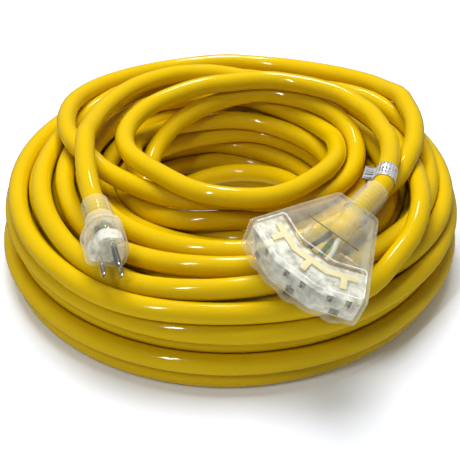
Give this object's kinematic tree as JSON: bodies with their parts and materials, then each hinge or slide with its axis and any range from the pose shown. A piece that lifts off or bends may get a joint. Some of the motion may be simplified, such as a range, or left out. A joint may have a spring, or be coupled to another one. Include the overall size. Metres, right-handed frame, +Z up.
{
  "type": "coiled extension cord",
  "caption": "Heavy round yellow extension cord in a loose coil, with a clear moulded grounding plug and a clear fan-shaped three-outlet connector lying on top.",
  "frame": {"origin": "on the floor, under the middle of the whole object's box", "axes": "+Z up; +X to the connector's side; -Y to the side where the plug and the connector lie, the front"},
  "size_m": [0.368, 0.3818, 0.1201],
  "materials": {
    "jacket": "glossy extruded vinyl jacket",
    "clear_plastic": "clear moulded vinyl",
    "white_plastic": "satin moulded",
    "cream_plastic": "satin moulded",
    "nickel": "bright nickel plate",
    "brass": "stamped",
    "foil": "crinkled foil",
    "black_vinyl": "satin",
    "white_vinyl": "satin",
    "green_vinyl": "satin",
    "neon_glass": "clear bulb, orange when lit",
    "ceramic": "painted"
  },
  "bodies": {
    "root": {"cord_coil": "jacket", "plug_lead": "jacket", "outlet_lead": "jacket", "foil_label": "foil", "plug_shell": "clear_plastic", "plug_collar": "clear_plastic", "plug_carrier": "white_plastic", "plug_line_blade": "nickel", "plug_neutral_blade": "nickel", "plug_ground_pin": "nickel", "plug_line_crimp": "brass", "plug_neutral_crimp": "brass", "plug_ground_crimp": "brass", "plug_line_wire": "black_vinyl", "plug_neutral_wire": "white_vinyl", "plug_ground_wire": "green_vinyl", "outlet_shell": "clear_plastic", "outlet_neck": "clear_plastic", "outlet_carrier": "white_plastic", "bus_cover": "cream_plastic", "line_bus": "brass", "neutral_bus": "brass", "ground_bus": "brass", "outlet_line_wire": "black_vinyl", "outlet_neutral_wire": "white_vinyl", "outlet_ground_wire": "green_vinyl", "line_contact_right": "nickel", "neutral_contact_right": "nickel", "ground_contact_right": "nickel", "line_contact_middle": "nickel", "neutral_contact_middle": "nickel", "ground_contact_middle": "nickel", "line_contact_left": "nickel", "neutral_contact_left": "nickel", "ground_contact_left": "nickel", "neon_lamp": "neon_glass", "lamp_resistor": "ceramic"}
  },
  "joints": []
}
